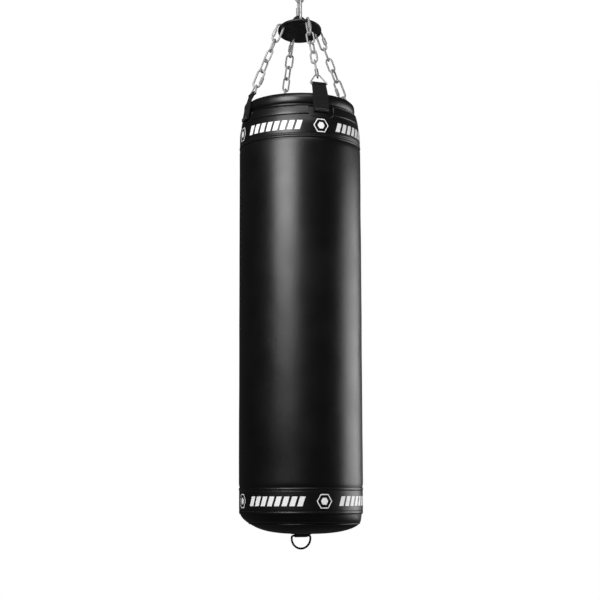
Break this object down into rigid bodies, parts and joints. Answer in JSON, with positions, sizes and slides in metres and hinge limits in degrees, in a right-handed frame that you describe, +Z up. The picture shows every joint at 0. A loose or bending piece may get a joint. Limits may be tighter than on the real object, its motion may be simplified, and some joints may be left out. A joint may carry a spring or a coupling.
{
  "type": "punching bag",
  "caption": "Hanging heavy punching bag: padded leather cylinder on chain legs from a round hub, with quick links, swivel, ceiling plate and pull ring.",
  "frame": {"origin": "centre of the ceiling plate's top face, the face that is screwed to the ceiling", "axes": "+Z up out of the plate into the ceiling, everything hangs towards -Z; the legs and straps lie towards +X, +Y, -X and -Y"},
  "size_m": [0.3578, 0.3578, 1.7645],
  "materials": {
    "zinc_steel": "bright zinc plate over steel wire and turned parts",
    "hub_black": "black powder coat, semi gloss",
    "bag_leather": "smooth black synthetic leather with a fine pressed grain",
    "band_leather": null,
    "strap_webbing": "black woven nylon webbing",
    "lid_fabric": "black coated cloth lid with a zip",
    "foam": "closed-cell foam liner",
    "textile_fill": "shredded textile packing",
    "ring_black": "black plated steel wire"
  },
  "bodies": {
    "ceiling_mount": {"ceiling_plate": "zinc_steel", "clevis_bolt": "zinc_steel", "clevis_nut": "zinc_steel"},
    "swivel_head": {"swivel_head": "zinc_steel", "swivel_cap": "zinc_steel", "thrust_bearing": "zinc_steel"},
    "swivel_stem": {"swivel_stem": "zinc_steel"},
    "top_link": {"top_link": "zinc_steel"},
    "bag": {"hub_plate": "hub_black", "hub_fin": "hub_black", "right_upper_link": "zinc_steel", "right_chain_1": "zinc_steel", "right_chain_2": "zinc_steel", "right_chain_3": "zinc_steel", "right_lower_link": "zinc_steel", "right_triangle": "zinc_steel", "strap_right": "strap_webbing", "back_upper_link": "zinc_steel", "back_chain_1": "zinc_steel", "back_chain_2": "zinc_steel", "back_chain_3": "zinc_steel", "back_lower_link": "zinc_steel", "back_triangle": "zinc_steel", "strap_back": "strap_webbing", "left_upper_link": "zinc_steel", "left_chain_1": "zinc_steel", "left_chain_2": "zinc_steel", "left_chain_3": "zinc_steel", "left_lower_link": "zinc_steel", "left_triangle": "zinc_steel", "strap_left": "strap_webbing", "front_upper_link": "zinc_steel", "front_chain_1": "zinc_steel", "front_chain_2": "zinc_steel", "front_chain_3": "zinc_steel", "front_lower_link": "zinc_steel", "front_triangle": "zinc_steel", "strap_front": "strap_webbing", "outer_shell": "bag_leather", "upper_band": "band_leather", "lower_band": "band_leather", "bottom_cap": "bag_leather", "foam_liner": "foam", "textile_fill": "textile_fill", "top_lid": "lid_fabric", "top_roll": "bag_leather", "bottom_tab": "strap_webbing"},
    "pull_ring": {"bottom_ring": "ring_black"},
    "top_link_sleeve": {"top_link_sleeve": "zinc_steel"},
    "right_upper_link_sleeve": {"right_upper_link_sleeve": "zinc_steel"},
    "right_lower_link_sleeve": {"right_lower_link_sleeve": "zinc_steel"},
    "back_upper_link_sleeve": {"back_upper_link_sleeve": "zinc_steel"},
    "back_lower_link_sleeve": {"back_lower_link_sleeve": "zinc_steel"},
    "left_upper_link_sleeve": {"left_upper_link_sleeve": "zinc_steel"},
    "left_lower_link_sleeve": {"left_lower_link_sleeve": "zinc_steel"},
    "front_upper_link_sleeve": {"front_upper_link_sleeve": "zinc_steel"},
    "front_lower_link_sleeve": {"front_lower_link_sleeve": "zinc_steel"}
  },
  "joints": [
    {"name": "bolt_swing", "type": "hinge", "parent": "ceiling_mount", "child": "swivel_head", "pos_m": [0, 0, -0.032], "axis": [0, 1, 0], "range_deg": [-50, 50]},
    {"name": "swivel_turn", "type": "hinge", "parent": "swivel_head", "child": "swivel_stem", "pos_m": [0, 0, -0.1183], "axis": [0, 0, 1], "continuous": true},
    {"name": "link_rock", "type": "hinge", "parent": "swivel_stem", "child": "top_link", "pos_m": [0, 0, -0.1183], "axis": [1, 0, 0], "range_deg": [-35, 35]},
    {"name": "hub_rock", "type": "hinge", "parent": "top_link", "child": "bag", "pos_m": [0, 0, -0.17655], "axis": [0, 1, 0], "range_deg": [-30, 30]},
    {"name": "pull_ring_flap", "type": "hinge", "parent": "bag", "child": "pull_ring", "pos_m": [0, 0, -1.72448], "axis": [1, 0, 0], "range_deg": [-85, 85]},
    {"name": "top_link_sleeve_screw", "type": "slide", "parent": "top_link", "child": "top_link_sleeve", "axis": [0, 0, 1], "range_m": [0, 0.008]},
    {"name": "right_upper_link_sleeve_screw", "type": "slide", "parent": "bag", "child": "right_upper_link_sleeve", "axis": [-0.3969, -0.0354, 0.9172], "range_m": [0, 0.008]},
    {"name": "right_lower_link_sleeve_screw", "type": "slide", "parent": "bag", "child": "right_lower_link_sleeve", "axis": [-0.3969, -0.0354, 0.9172], "range_m": [0, 0.008]},
    {"name": "back_upper_link_sleeve_screw", "type": "slide", "parent": "bag", "child": "back_upper_link_sleeve", "axis": [-0.0136, -0.4242, 0.9055], "range_m": [0, 0.008]},
    {"name": "back_lower_link_sleeve_screw", "type": "slide", "parent": "bag", "child": "back_lower_link_sleeve", "axis": [-0.0136, -0.4242, 0.9055], "range_m": [0, 0.008]},
    {"name": "left_upper_link_sleeve_screw", "type": "slide", "parent": "bag", "child": "left_upper_link_sleeve", "axis": [0.374, -0.0312, 0.9269], "range_m": [0, 0.008]},
    {"name": "left_lower_link_sleeve_screw", "type": "slide", "parent": "bag", "child": "left_lower_link_sleeve", "axis": [0.374, -0.0312, 0.9269], "range_m": [0, 0.008]},
    {"name": "front_upper_link_sleeve_screw", "type": "slide", "parent": "bag", "child": "front_upper_link_sleeve", "axis": [-0.0094, 0.3576, 0.9338], "range_m": [0, 0.008]},
    {"name": "front_lower_link_sleeve_screw", "type": "slide", "parent": "bag", "child": "front_lower_link_sleeve", "axis": [-0.0094, 0.3576, 0.9338], "range_m": [0, 0.008]}
  ]
}
